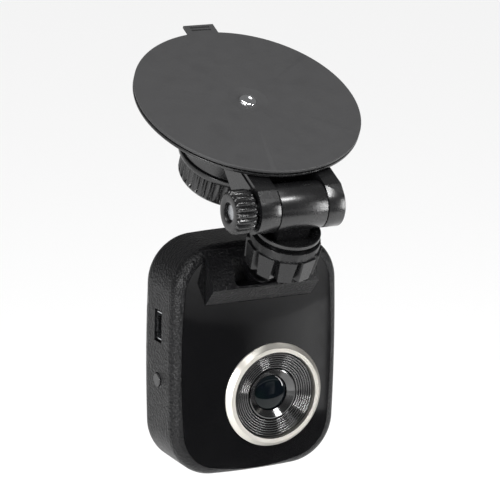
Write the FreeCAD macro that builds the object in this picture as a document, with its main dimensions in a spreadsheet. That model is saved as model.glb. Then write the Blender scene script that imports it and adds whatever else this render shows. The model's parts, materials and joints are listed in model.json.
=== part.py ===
"""Dash camera on a twist-lock suction mount, as a parametric document in millimetres.

Frame: the origin is the centre of the suction face, +X to the viewer's right when the
viewer faces the lens, -Y is where the lens looks, +Z is up. The suction face leans
forward, the arm hangs from a clamped hinge at its front edge, and the camera hangs
from a ball stud that a ring nut locks in the arm.
"""
import FreeCAD, Part
import os
import re
import Sketcher

Vector = FreeCAD.Vector
Rotation = FreeCAD.Rotation
Placement = FreeCAD.Placement
X_AXIS = Vector(1, 0, 0)
Y_AXIS = Vector(0, 1, 0)

# alias, value in millimetres or degrees or a count, meaning
DRIVING = [
    ("run_gap", 0.05, "radial clearance of a shaft in its hole"),
    ("move_gap", 0.35, "clearance between bodies that move past each other"),
    ("fit_gap", 0.1, "clearance of a part seated in a recess"),
    ("disc_tilt", 26.1, "lean of the suction face from level"),
    ("pad_radius", 31, "suction pad and cup edge"),
    ("pad_thick", 1.1, "rubber thickness"),
    ("pad_lip", 0.75, "thickness of the outer lip of the pad"),
    ("pad_step", 0.6, "how far the groove behind the lip cuts in"),
    ("dimple_radius", 5.5, "shallow dish round the rivet"),
    ("dimple_depth", 0.35, "depth of that dish"),
    ("tab_width", 9, "pull tab"),
    ("tab_reach", 3.6, "pull tab beyond the pad edge"),
    ("tab_slot", 0.7, "width of a grip slot in the tab"),
    ("plate_thick", 1.5, "cup shell plate"),
    ("bell_radius", 15, "bell of the cup shell"),
    ("bell_wall", 2, "wall of the bell"),
    ("bell_depth", 14.2, "bell behind the plate"),
    ("tube_radius", 6, "guide tube of the draw rod"),
    ("tube_depth", 22, "guide tube behind the plate"),
    ("rod_radius", 2.4, "draw rod, whose head is the rivet in the pad"),
    ("pin_radius", 1, "cross pin of the draw rod"),
    ("pin_length", 14.8, "cross pin"),
    ("lock_travel", 2.4, "pull of the draw rod"),
    ("knob_radius", 14, "lock knob drum over its ribs"),
    ("knob_rib", 0.9, "height of a rib on the lock knob"),
    ("knob_ribs", 36, "ribs round the lock knob"),
    ("flange_radius", 15.4, "flange of the lock knob"),
    ("flange_height", 1.7, "flange of the lock knob"),
    ("drum_height", 6.1, "ribbed drum of the lock knob"),
    ("dome_height", 4, "domed end of the lock knob"),
    ("yoke_width", 24.4, "over both ears"),
    ("gap_width", 14.1, "between the ears"),
    ("gap_shift", 0.4, "middle of the gap from the middle of the yoke"),
    ("hinge_reach", 34.2, "hinge axis from the suction axis"),
    ("hinge_depth", 9.3, "hinge axis behind the suction face"),
    ("ear_radius", 6.3, "round end of an ear"),
    ("ear_rise", 20, "slope of the lower edge of an ear"),
    ("mark_proud", 0.35, "raised field on the left ear"),
    ("screw_radius", 1, "small screws"),
    ("bolt_radius", 2, "hinge bolt"),
    ("bolt_flats", 7, "hexagon of the bolt head, across flats"),
    ("bolt_head", 2.4, "bolt head height"),
    ("thumb_radius", 5.8, "thumb knob over its ribs"),
    ("thumb_length", 5.9, "thumb knob"),
    ("thumb_ribs", 20, "ribs round the thumb knob"),
    ("arm_tilt", 23, "lean of the arm from upright"),
    ("barrel_radius", 6.3, "knuckle of the arm"),
    ("dish_radius", 8.9, "dish above the ring nut"),
    ("dish_drop", 6.9, "rim of the dish below the hinge axis"),
    ("dish_depth", 1.5, "hollow of the dish"),
    ("socket_radius", 7.85, "threaded socket of the arm"),
    ("ball_drop", 14.5, "ball centre below the hinge axis"),
    ("ball_radius", 4.8, "ball of the stud"),
    ("seat_wall", 0.85, "ball seat around the ball"),
    ("nut_radius", 10.2, "ring nut over its lobes"),
    ("nut_taper", 5.2, "taper of the lobes"),
    ("nut_lobes", 10, "lobes of the ring nut"),
    ("nut_notch", 1.5, "depth of a notch between lobes"),
    ("collar_radius", 9.3, "plain collar of the ring nut"),
    ("collar_height", 2.3, "plain collar of the ring nut"),
    ("lobe_height", 6.6, "lobed part of the ring nut"),
    ("stud_rise", 33, "slope of the ball stud"),
    ("stud_neck", 2.2, "stud neck radius"),
    ("stud_thread", 2, "stud thread radius"),
    ("stud_reach", 13.6, "ball centre to the face that the stud screws down on"),
    ("stud_screwed", 5.4, "thread in the insert"),
    ("insert_radius", 2.7, "brass thread insert"),
    ("ball_ahead", 13.3, "ball centre in front of the camera's face"),
    ("ball_height", 32.8, "ball centre above the middle of the camera"),
    ("body_width", 50, "camera body"),
    ("body_height", 65.0, "camera body"),
    ("body_depth", 21, "camera body"),
    ("side_bow", 0.9, "bow of the left and right sides"),
    ("top_bow", 1.3, "bow of the top and bottom"),
    ("corner_radius", 13, "corners seen from the front"),
    ("front_round", 3.4, "edge round at the front"),
    ("back_round", 4.6, "edge round at the back"),
    ("wall", 1.8, "housing wall"),
    ("cover_depth", 5.6, "rear cover"),
    ("panel_width", 45, "gloss front panel"),
    ("panel_height", 62.4, "gloss front panel"),
    ("panel_thick", 1.2, "gloss front panel"),
    ("panel_corner", 9.5, "corners of the front panel"),
    ("wedge_width", 31.7, "raised bracket block on the front"),
    ("wedge_top", 31.3, "its top above the middle of the camera"),
    ("wedge_edge", 21.3, "its front edge above the middle of the camera"),
    ("wedge_reach", 5, "how far it stands out"),
    ("pocket_width", 18, "recess in the block"),
    ("pocket_low", 21.9, "bottom of the recess"),
    ("pocket_high", 29.0, "top of the recess"),
    ("lens_across", 5, "lens axis right of the middle"),
    ("lens_down", 11.0, "lens axis below the middle"),
    ("ring_base", 14.5, "flared base of the lens ring"),
    ("ring_outer", 13.3, "front face of the lens ring, outer radius"),
    ("ring_inner", 12.2, "front face of the lens ring, inner radius"),
    ("ring_proud", 1.6, "lens ring in front of the panel"),
    ("hood_mouth", 7.1, "inner radius of the grooved hood"),
    ("hood_fall", 0.8, "fall of the grooved hood"),
    ("hood_steps", 7, "grooves in the hood"),
    ("barrel_lens", 7, "lens barrel radius"),
    ("glass_radius", 5.0, "front lens element"),
    ("pole_flat", 0.15, "small flat where a domed face meets its axis"),
    ("screen_width", 40, "screen window"),
    ("screen_height", 31, "screen window"),
    ("screen_up", 6.2, "screen middle above the middle of the camera"),
    ("button_radius", 2.5, "rear buttons"),
    ("button_pitch", 9.5, "rear buttons"),
    ("button_down", 17.6, "rear buttons below the middle of the camera"),
    ("button_proud", 0.6, "how far a button stands out"),
    ("press", 0.4, "button travel"),
    ("side_button_radius", 1.9, "round button on the left side"),
    ("side_button_down", 5.9, "side button below the middle of the camera"),
    ("side_line", 10.1, "socket and side button behind the panel face"),
    ("usb_up", 9.1, "supply socket above the middle of the camera"),
    ("usb_tall", 7.7, "supply socket shell"),
    ("usb_thick", 3.9, "supply socket shell"),
    ("card_up", 9.2, "card slot above the middle of the camera"),
    ("card_tall", 11, "memory card"),
    ("card_long", 15, "memory card"),
    ("card_thick", 1, "memory card"),
    ("board_face", 12.3, "front face of the main board behind the panel face"),
    ("board_thick", 1.1, "main board"),
    ("case_screw_across", 16.5, "case screws from the middle"),
    ("case_screw_up", 25.8, "case screws from the middle"),
    ("case_screw_head", 1.8, "case screw head radius"),
]
ALIASES = {row[0] for row in DRIVING}

doc = FreeCAD.newDocument("DashCamera")
sheet = doc.addObject("Spreadsheet::Sheet", "Sizes")
for row, (alias, size, meaning) in enumerate(DRIVING, start=1):
    sheet.set(f"A{row}", alias)
    sheet.set(f"B{row}", str(size))
    sheet.setAlias(f"B{row}", alias)
    sheet.set(f"C{row}", meaning)
doc.recompute()


# ---- helpers ---------------------------------------------------------------------------
def link(text):
    """An expression on the sheet, from the same words without the sheet's name."""
    return re.sub(r"[a-z_]+", lambda m: f"Sizes.{m[0]}" if m[0] in ALIASES else m[0], str(text))


def number(text):
    """The present value of such an expression."""
    return float(sheet.evalExpression(link(text)))


def at(*words):
    return Vector(*[number(word) for word in words])


def new_body(name):
    body = doc.addObject("PartDesign::Body", name)
    body.Label = name
    return body


def new_sketch(body, plane, name, lift="0"):
    """A sketch on an origin plane of the body, lifted along the plane's normal.

    XY looks along +Z. XZ looks along -Y, so its lift is towards the lens. YZ looks along +X.
    """
    sketch = body.newObject("Sketcher::SketchObject", name)
    roles = {part.Role: part for part in body.Origin.OriginFeatures}
    sketch.AttachmentSupport = (roles[f"{plane}_Plane"], [""])
    sketch.MapMode = "FlatFace"
    sketch.setExpression(".AttachmentOffset.Base.z", link(lift))
    return sketch


def tie(sketch, kind, where, text):
    """A dimension of the sketch, bound to the sheet."""
    row = sketch.addConstraint(Sketcher.Constraint(kind, *where, number(text)))
    sketch.setExpression(f"Constraints[{row}]", link(text))


def outline(body, plane, name, corners, lift="0"):
    """A closed outline, anticlockwise. A third value on a corner bows the side after it."""
    sketch = new_sketch(body, plane, name, lift)
    count = len(corners)
    spots = [at(corner[0], corner[1], 0) for corner in corners]
    ends = []
    for i, corner in enumerate(corners):
        here, there = spots[i], spots[(i + 1) % count]
        bow = number(corner[2]) if len(corner) > 2 else 0
        if bow == 0:
            sketch.addGeometry(Part.LineSegment(here, there), False)
        else:
            side = (there - here).normalize()
            middle = (here + there) / 2 + Vector(side.y, -side.x, 0) * bow
            sketch.addGeometry(Part.Arc(here, middle, there), False)
        ends.append((1, 2) if bow >= 0 else (2, 1))
    for i in range(count):
        after = (i + 1) % count
        sketch.addConstraint(Sketcher.Constraint("Coincident", i, ends[i][1], after, ends[after][0]))
    for i, corner in enumerate(corners):
        tie(sketch, "DistanceX", (-1, 1, i, ends[i][0]), corner[0])
        tie(sketch, "DistanceY", (-1, 1, i, ends[i][0]), corner[1])
        if len(corner) > 2:
            after = corners[(i + 1) % count]
            chord = f"((({after[0]}) - ({corner[0]}))^2 + (({after[1]}) - ({corner[1]}))^2)"
            tie(sketch, "Radius", (i,), f"{chord} / 8 / abs({corner[2]}) + abs({corner[2]}) / 2")
    return sketch


def circles(body, plane, name, centres, radius, lift="0"):
    sketch = new_sketch(body, plane, name, lift)
    for i, (across, up) in enumerate(centres):
        sketch.addGeometry(Part.Circle(at(across, up, 0), Vector(0, 0, 1), number(radius)), False)
        tie(sketch, "DistanceX", (-1, 1, i, 3), across)
        tie(sketch, "DistanceY", (-1, 1, i, 3), up)
        tie(sketch, "Radius", (i,), radius)
    return sketch


def rectangle(body, plane, name, low, high, lift="0"):
    corners = [(low[0], low[1]), (high[0], low[1]), (high[0], high[1]), (low[0], high[1])]
    return outline(body, plane, name, corners, lift)


def revolve(body, profile, kind="Revolution"):
    feature = body.newObject(f"PartDesign::{kind}", f"{profile.Name}_{kind}")
    feature.Profile = profile
    feature.ReferenceAxis = (profile, ["V_Axis"])
    feature.Angle = 360
    return feature


def pad(body, profile, length, both=False, back=False):
    feature = body.newObject("PartDesign::Pad", f"{profile.Name}_pad")
    feature.Profile = profile
    feature.setExpression("Length", link(length))
    feature.SideType = "Symmetric" if both else "One side"
    feature.Reversed = back
    return feature


def cut(body, profile, length, both=False, back=False):
    """A pocket, which has to take material away."""
    doc.recompute()
    before = body.Shape.Volume
    feature = body.newObject("PartDesign::Pocket", f"{profile.Name}_cut")
    feature.Profile = profile
    feature.setExpression("Length", link(length))
    feature.SideType = "Symmetric" if both else "One side"
    feature.Reversed = back
    doc.recompute()
    if body.Shape.Volume > before - 1e-3:
        raise RuntimeError(f"{feature.Name} cuts nothing")
    return feature


def ring_of(body, feature, axis_sketch, count):
    """Repeats a feature round the normal of a sketch."""
    pattern = body.newObject("PartDesign::PolarPattern", f"{feature.Name}_ring")
    pattern.Originals = [feature]
    pattern.Axis = (axis_sketch, ["N_Axis"])
    pattern.Angle = 360
    pattern.setExpression("Occurrences", link(count))
    body.Tip = pattern
    return pattern


def soften(body, radius, wanted, kind="Fillet"):
    """Rounds or chamfers the edges of the body so far that the test accepts."""
    doc.recompute()
    base = body.Tip
    names = [f"Edge{i}" for i, edge in enumerate(base.Shape.Edges, start=1) if wanted(edge)]
    feature = body.newObject(f"PartDesign::{kind}", f"{base.Name}_{kind}")
    feature.Base = (base, names)
    feature.setExpression("Radius" if kind == "Fillet" else "Size", link(radius))
    return feature


def block(name, low, high):
    """A plain box between two corners of the camera's own frame."""
    solid = doc.addObject("Part::Box", name)
    solid.Label = name
    for side, first, last in zip(("Length", "Width", "Height"), low, high):
        solid.setExpression(side, link(f"({last}) - ({first})"))
    solid.Placement = camera_frame * Placement(at(*low), Rotation())
    return solid


# ---- frames ----------------------------------------------------------------------------
def turn_x(word):
    return Rotation(X_AXIS, number(word))


disc_frame = Placement(Vector(), turn_x("disc_tilt"))
hinge_spot = disc_frame.multVec(at(0, "-hinge_reach", "-hinge_depth"))
hinge_frame = Placement(hinge_spot, Rotation(Y_AXIS, 90))
arm_frame = Placement(hinge_spot, turn_x("arm_tilt"))
ball_spot = arm_frame.multVec(at(0, 0, "-ball_drop"))
stud_frame = Placement(ball_spot, turn_x("90 - stud_rise"))
camera_frame = Placement(ball_spot - at(0, "-ball_ahead", "ball_height"), Rotation())
lens_frame = camera_frame * Placement(at("lens_across", 0, "-lens_down"), turn_x("90"))


# ---- suction mount, in the disc frame: z = 0 is the suction face ------------------------
def suction_pad():
    body = new_body("suction_pad")
    neck = "pad_radius - pad_step"
    profile = outline(body, "XZ", "pad_profile", [
        ("rod_radius + run_gap", "-pad_thick"),
        (neck, "-pad_thick"),
        (neck, "-pad_lip"),
        ("pad_radius", "-pad_lip"),
        ("pad_radius", "-0.15"),
        ("pad_radius - 0.15", "0"),
        ("dimple_radius", "0"),
        ("rod_radius + run_gap", "-dimple_depth"),
    ])
    revolve(body, profile)
    half = "tab_width / 2"
    root = "pad_radius - 1"
    tip = "pad_radius + tab_reach"
    tab = rectangle(body, "XY", "pad_tab", (f"-{half}", root), (half, tip), "-pad_lip")
    pad(body, tab, "pad_lip - 0.05")
    for i in (1, 2):
        first = f"pad_radius + tab_reach * {i} / 3 - tab_slot / 2"
        slot = rectangle(body, "XY", f"tab_slot_{i}", ("-tab_width / 2 + 1.6", first),
                         ("tab_width / 2 - 1.6", f"{first} + tab_slot"))
        cut(body, slot, "pad_lip / 2")
    body.Placement = disc_frame


def cup_shell():
    body = new_body("cup_shell")
    face = "-(pad_thick + plate_thick)"
    profile = outline(body, "XZ", "shell_profile", [
        ("rod_radius + run_gap", "-(pad_thick + tube_depth)"),
        ("tube_radius", "-(pad_thick + tube_depth)"),
        ("tube_radius", f"{face} - 1"),
        ("bell_radius - bell_wall", f"{face} - 1"),
        ("bell_radius - bell_wall", f"{face} - bell_depth"),
        ("bell_radius", f"{face} - bell_depth"),
        ("bell_radius", face),
        ("pad_radius - 1.4", face),
        ("pad_radius", f"{face} + 0.6"),
        ("pad_radius", "-pad_thick - 0.15"),
        ("pad_radius - 0.15", "-pad_thick"),
        ("rod_radius + run_gap", "-pad_thick"),
    ])
    revolve(body, profile)
    slot = rectangle(body, "XY", "pin_slot", ("-tube_radius - 1", "-pin_radius - run_gap"),
                     ("tube_radius + 1", "pin_radius + run_gap"), "-(pad_thick + tube_depth)")
    cut(body, slot, "lock_travel + 2 * pin_radius + 1", back=True)
    holes = circles(body, "XY", "plate_holes", YOKE_SCREWS, "screw_radius + fit_gap", "-pad_thick")
    cut(body, holes, "plate_thick + 1")
    sinks = circles(body, "XY", "plate_sinks", YOKE_SCREWS, "2 * screw_radius + fit_gap", "-pad_thick")
    cut(body, sinks, "screw_radius * 0.8")
    body.Placement = disc_frame


YOKE_SCREWS = [("-7.5", "-bell_radius - 6"), ("7.5", "-bell_radius - 6")]


def yoke():
    """Two ears that carry the hinge, cut to sit against the bell and the plate."""
    body = new_body("yoke")
    top = "-(pad_thick + plate_thick)"
    hinge_y = "(-hinge_reach)"
    low_y = f"{hinge_y} + ear_radius * sin(ear_rise)"
    low_z = "-hinge_depth - ear_radius * cos(ear_rise)"
    tip_y = f"{hinge_y} - ear_radius * sin(35)"
    tip_z = "-hinge_depth + ear_radius * cos(35)"
    root_y = "-bell_radius + 4"
    side = outline(body, "YZ", "ear_side", [
        (tip_y, tip_z, "ear_radius * (1 - sin((35 - ear_rise) / 2))"),
        (low_y, low_z),
        (root_y, f"{low_z} + ({root_y} - ({low_y})) * tan(ear_rise)"),
        (root_y, top),
        (f"{hinge_y} - ear_radius * 0.1", top),
    ])
    pad(body, side, "yoke_width", both=True)
    bell = circles(body, "XY", "bell_bite", [("0", "0")], "bell_radius")
    cut(body, bell, "40")
    low_gap = "gap_shift - gap_width / 2"
    gap = rectangle(body, "XY", "ear_gap", (low_gap, "-hinge_reach - ear_radius - 2"),
                    (f"{low_gap} + gap_width", "-hinge_reach + barrel_radius + 0.8"))
    cut(body, gap, "40")
    bore = circles(body, "YZ", "hinge_bore", [("-hinge_reach", "-hinge_depth")], "bolt_radius + run_gap")
    cut(body, bore, "yoke_width + 2", both=True)
    flats = "(bolt_flats / 2 + fit_gap)"
    corners = [(f"-hinge_reach + {flats} / cos(30) * cos({60 * k})",
                f"-hinge_depth + {flats} / cos(30) * sin({60 * k})") for k in range(6)]
    hexagon = outline(body, "YZ", "head_recess", corners, "yoke_width / 2")
    cut(body, hexagon, "bolt_head")
    raised = rectangle(body, "YZ", "raised_mark", ("-hinge_reach + 1.6", "-hinge_depth + 1.2"),
                       ("-hinge_reach + 11.6", "-hinge_depth + 5.4"), "-yoke_width / 2")
    pad(body, raised, "mark_proud", back=True)
    pilots = circles(body, "XY", "pilot_holes", YOKE_SCREWS, "screw_radius", top)
    cut(body, pilots, "5")
    body.Placement = disc_frame


def yoke_screws():
    body = new_body("yoke_screws")
    head = "screw_radius * 0.8"
    body.AllowCompound = True
    shanks = circles(body, "XY", "yoke_shanks", YOKE_SCREWS, "screw_radius", "-pad_thick - 0.2")
    pad(body, shanks, "plate_thick + 4.5", back=True)
    heads = circles(body, "XY", "yoke_heads", YOKE_SCREWS, "2 * screw_radius", f"-pad_thick - {head}")
    pad(body, heads, f"{head} - 0.05")
    body.Placement = disc_frame


def draw_rod():
    body = new_body("draw_rod")
    low = "-(pad_thick + tube_depth - lock_travel)"
    profile = outline(body, "XZ", "rod_profile", [
        ("0", low),
        ("rod_radius", low),
        ("rod_radius", "-dimple_depth", "0.1"),
        ("4 * pole_flat", "-0.08"),
        ("0", "-0.08"),
    ])
    revolve(body, profile)
    hole = circles(body, "YZ", "pin_hole", [("0", PIN_LEVEL)], "pin_radius")
    cut(body, hole, "4 * rod_radius", both=True)
    body.Placement = disc_frame


PIN_LEVEL = "-(pad_thick + tube_depth - lock_travel - pin_radius - 0.6)"


def cross_pin():
    body = new_body("cross_pin")
    pad(body, circles(body, "YZ", "pin_section", [("0", PIN_LEVEL)], "pin_radius"), "pin_length", both=True)
    body.Placement = disc_frame


def lock_knob():
    """A hollow cap over the guide tube; its chamber stands for the steep cam groove."""
    body = new_body("lock_knob")
    top = "-(pad_thick + plate_thick + bell_depth + move_gap)"
    step = f"({top} - flange_height)"
    drum = f"({step} - drum_height)"
    core = "(knob_radius - knob_rib)"
    chamber = "pin_length / 2 + move_gap"
    floor = "-(pad_thick + tube_depth + lock_travel / 2)"
    profile = outline(body, "XZ", "knob_profile", [
        ("0", f"{drum} - dome_height", "dome_height * 0.06"),
        (f"{core} * 0.62", f"{drum} - dome_height * 0.72", "dome_height * 0.22"),
        (core, drum),
        (core, step),
        ("flange_radius", step),
        ("flange_radius", top),
        (chamber, top),
        (chamber, floor),
        ("0", floor),
    ])
    revolve(body, profile)
    rib = rectangle(body, "XY", "knob_rib_section", (f"{core} - 0.5", "-0.4"), ("knob_radius", "0.4"), drum)
    ribs = pad(body, rib, "drum_height + 0.1")
    ring_of(body, ribs, rib, "knob_ribs")
    body.Placement = disc_frame


# ---- hinge hardware, in the hinge frame: z runs along the hinge, towards +X --------------
def hinge_bolt():
    body = new_body("hinge_bolt")
    head = "yoke_width / 2 - bolt_head"
    flats = "(bolt_flats / 2)"
    corners = [(f"{flats} / cos(30) * cos({60 * k + 30})",
                f"{flats} / cos(30) * sin({60 * k + 30})") for k in range(6)]
    pad(body, outline(body, "XY", "bolt_hexagon", corners, head), "bolt_head - 0.3")
    shank = circles(body, "XY", "bolt_shank", [("0", "0")], "bolt_radius", head)
    pad(body, shank, "yoke_width - bolt_head + mark_proud + move_gap + thumb_length - 0.9", back=True)
    body.Placement = hinge_frame * Placement(Vector(), Rotation(Vector(0, 0, 1), HEAD_TURN))


HEAD_TURN = number("disc_tilt")


def thumb_knob():
    body = new_body("thumb_knob")
    near = "-(yoke_width / 2 + mark_proud + move_gap)"
    far = f"({near} - thumb_length)"
    core = "(thumb_radius - 0.45)"
    profile = outline(body, "XZ", "thumb_profile", [
        ("bolt_radius + run_gap", f"{far} + 0.9"),
        ("bolt_radius + 0.5", f"{far} + 0.9"),
        ("bolt_radius + 0.5", far),
        (f"{core} - 0.4", far),
        (core, f"{far} + 0.6"),
        (core, f"{near} - 0.5"),
        (f"{core} - 0.5", near),
        ("bolt_radius + run_gap", near),
    ])
    revolve(body, profile)
    rib = rectangle(body, "XY", "thumb_rib", (f"{core} - 0.5", "-0.42"), ("thumb_radius", "0.42"),
                    f"{far} + 0.7")
    ribs = pad(body, rib, "thumb_length - 1.5")
    ring_of(body, ribs, rib, "thumb_ribs")
    body.Placement = hinge_frame


# ---- arm, in the arm frame: z = 0 on the hinge axis, -z down the arm ----------------------
SEAT_TOP = "(-ball_drop + ball_radius + 0.5)"


def arm():
    body = new_body("arm")
    seat_radius = "(ball_radius + seat_wall + run_gap)"
    floor = "(-dish_drop - dish_depth)"
    profile = outline(body, "XZ", "arm_socket", [
        ("0", f"{SEAT_TOP} + run_gap"),
        (seat_radius, f"{SEAT_TOP} + run_gap"),
        (seat_radius, "-ball_drop"),
        ("socket_radius", "-ball_drop"),
        ("socket_radius", f"{floor} - 0.4"),
        ("dish_radius", "-dish_drop - 0.9"),
        ("dish_radius", "-dish_drop"),
        ("dish_radius - 0.6", "-dish_drop"),
        ("dish_radius - 2", floor),
        ("0", floor),
    ])
    revolve(body, profile)
    neck = rectangle(body, "XY", "arm_neck", ("-4.6", "-barrel_radius * 0.55"),
                     ("4.6", "barrel_radius * 0.55"), f"{floor} - 0.1")
    pad(body, neck, "dish_depth + dish_drop - barrel_radius / 2")
    left = "gap_shift - gap_width / 2 + move_gap"
    barrel = circles(body, "YZ", "arm_barrel", [("0", "0")], "barrel_radius", left)
    pad(body, barrel, "gap_width - 2 * move_gap")
    bore = circles(body, "YZ", "arm_bore", [("0", "0")], "bolt_radius + run_gap")
    cut(body, bore, "2 * gap_width", both=True)
    body.Placement = arm_frame


def ball_seat():
    body = new_body("ball_seat")
    radius = "ball_radius + seat_wall"
    hollow = "(ball_radius + run_gap)"
    profile = outline(body, "XZ", "seat_profile", [
        (hollow, "-ball_drop"),
        (radius, "-ball_drop"),
        (radius, SEAT_TOP),
        ("0", SEAT_TOP),
        ("0", f"-ball_drop + {hollow}", f"-{hollow} * (1 - sqrt(0.5))"),
    ])
    revolve(body, profile)
    body.Placement = arm_frame


def ring_nut():
    """Collar above, tapered flat-faced lobes below, and a lip that keeps the ball in."""
    body = new_body("ring_nut")
    top = "(-dish_drop - dish_depth - 0.4 - move_gap)"
    lobes = f"({top} - collar_height)"
    low = f"({lobes} - lobe_height)"
    corners = []
    for k in range(int(number("nut_lobes"))):
        step = "(360 / nut_lobes)"
        for share, shrink in ((-0.5, "nut_notch"), (-0.36, "0"), (0.36, "0")):
            turn = f"({k + share}) * {step}"
            corners.append((f"(nut_radius - {shrink}) * cos({turn})", f"(nut_radius - {shrink}) * sin({turn})"))
    star = outline(body, "XY", "nut_star", corners, lobes)
    tapered = pad(body, star, "lobe_height", back=True)
    tapered.setExpression("TaperAngle", link("-nut_taper"))
    collar = circles(body, "XY", "nut_collar", [("0", "0")], "collar_radius", lobes)
    pad(body, collar, "collar_height")
    thread = "socket_radius + 2 * run_gap"
    shelf = "(-ball_drop - move_gap)"
    lip = "(-ball_drop - ball_radius * 0.45)"
    inside = outline(body, "XZ", "nut_inside", [
        ("0", f"{low} - 1"),
        ("ball_radius * 0.94 + 1.3", f"{low} - 1"),
        ("ball_radius * 0.94", lip),
        ("ball_radius + 0.7", shelf),
        (thread, shelf),
        (thread, f"{top} + 1"),
        ("0", f"{top} + 1"),
    ])
    revolve(body, inside, "Groove")
    body.Placement = arm_frame


# ---- ball stud and its insert, in the stud frame: z = 0 at the ball, -z into the camera ----
def ball_stud():
    body = new_body("ball_stud")
    neck_drop = "(-sqrt(ball_radius^2 - stud_neck^2))"
    profile = outline(body, "XZ", "stud_profile", [
        ("0", "-stud_reach - stud_screwed"),
        ("stud_thread", "-stud_reach - stud_screwed"),
        ("stud_thread", "-stud_reach + run_gap"),
        ("stud_neck + 1.3", "-stud_reach + run_gap"),
        ("stud_neck + 1.3", "-stud_reach + 1.6"),
        ("stud_neck", "-stud_reach + 2"),
        ("stud_neck", neck_drop, "ball_radius * (1 - sin(asin(stud_neck / ball_radius) / 2))"),
        ("0", "ball_radius"),
    ])
    revolve(body, profile)
    body.Placement = stud_frame


def thread_insert():
    body = new_body("thread_insert")
    profile = outline(body, "XZ", "insert_profile", [
        ("stud_thread + run_gap", "-stud_reach - stud_screwed - 0.4"),
        ("insert_radius", "-stud_reach - stud_screwed - 0.4"),
        ("insert_radius", "-stud_reach - 0.3"),
        ("stud_thread + run_gap", "-stud_reach - 0.3"),
    ])
    revolve(body, profile)
    body.Placement = stud_frame


# ---- camera, in its own frame: y = 0 is the gloss panel's face, +y into the body -----------
SPLIT = "(body_depth - cover_depth)"
FRONT_WALL = "(panel_thick + wall)"
COVER_FACE = "(body_depth - wall)"
SIDE = "(body_width / 2)"
CASE_SCREWS = [(f"{x}case_screw_across", f"{z}case_screw_up") for x in ("-", "") for z in ("-", "")]
BOARD_SCREWS = [("-body_width / 2 + 6", "-15.5"), ("body_width / 2 - 5.5", "-2.5")]
LENS = ("lens_across", "-lens_down")


def bowed(across, height, side_bow="side_bow", top_bow="top_bow"):
    """Four corners of a rectangle whose sides bow out to the stated width and height."""
    half, tall = f"(({across}) / 2 - {side_bow})", f"(({height}) / 2 - {top_bow})"
    return [
        (f"-{half}", f"-{tall}", top_bow),
        (half, f"-{tall}", side_bow),
        (half, tall, top_bow),
        (f"-{half}", tall, side_bow),
    ]


def rounded(across, height, radius, side_bow="side_bow", top_bow="top_bow"):
    """The same with round corners, whose arcs leave the bowed sides nearly in line."""
    half, tall = f"(({across}) / 2 - {side_bow})", f"(({height}) / 2 - {top_bow})"
    run, rise = f"({half} - {radius})", f"({tall} - {radius})"
    lean = f"atan({side_bow} / {rise}) + atan({top_bow} / {run})"
    turn = f"{radius} * sqrt(0.5) * tan((45 deg - ({lean})) / 2)"
    return [
        (f"-{run}", f"-{tall}", top_bow),
        (run, f"-{tall}", turn),
        (half, f"-{rise}", side_bow),
        (half, rise, turn),
        (run, tall, top_bow),
        (f"-{run}", tall, turn),
        (f"-{half}", rise, side_bow),
        (f"-{half}", f"-{rise}", turn),
    ]


def along_y(edge):
    return edge.BoundBox.XLength < 1e-3 and edge.BoundBox.ZLength < 1e-3


def in_plane_y(word):
    return lambda edge: edge.BoundBox.YLength < 1e-3 and abs(edge.BoundBox.YMin - number(word)) < 1e-3


def case_room(lift, body):
    """The outline of the space inside the walls."""
    corners = rounded("body_width - 2 * wall", "body_height - 2 * wall", "(corner_radius - wall)")
    return outline(body, "XZ", f"{body.Name}_room", corners, lift)


def screw_posts(body, name, spots, radius, base, length, back):
    posts = circles(body, "XZ", name, spots, radius, base)
    pad(body, posts, length, back=back)


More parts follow.
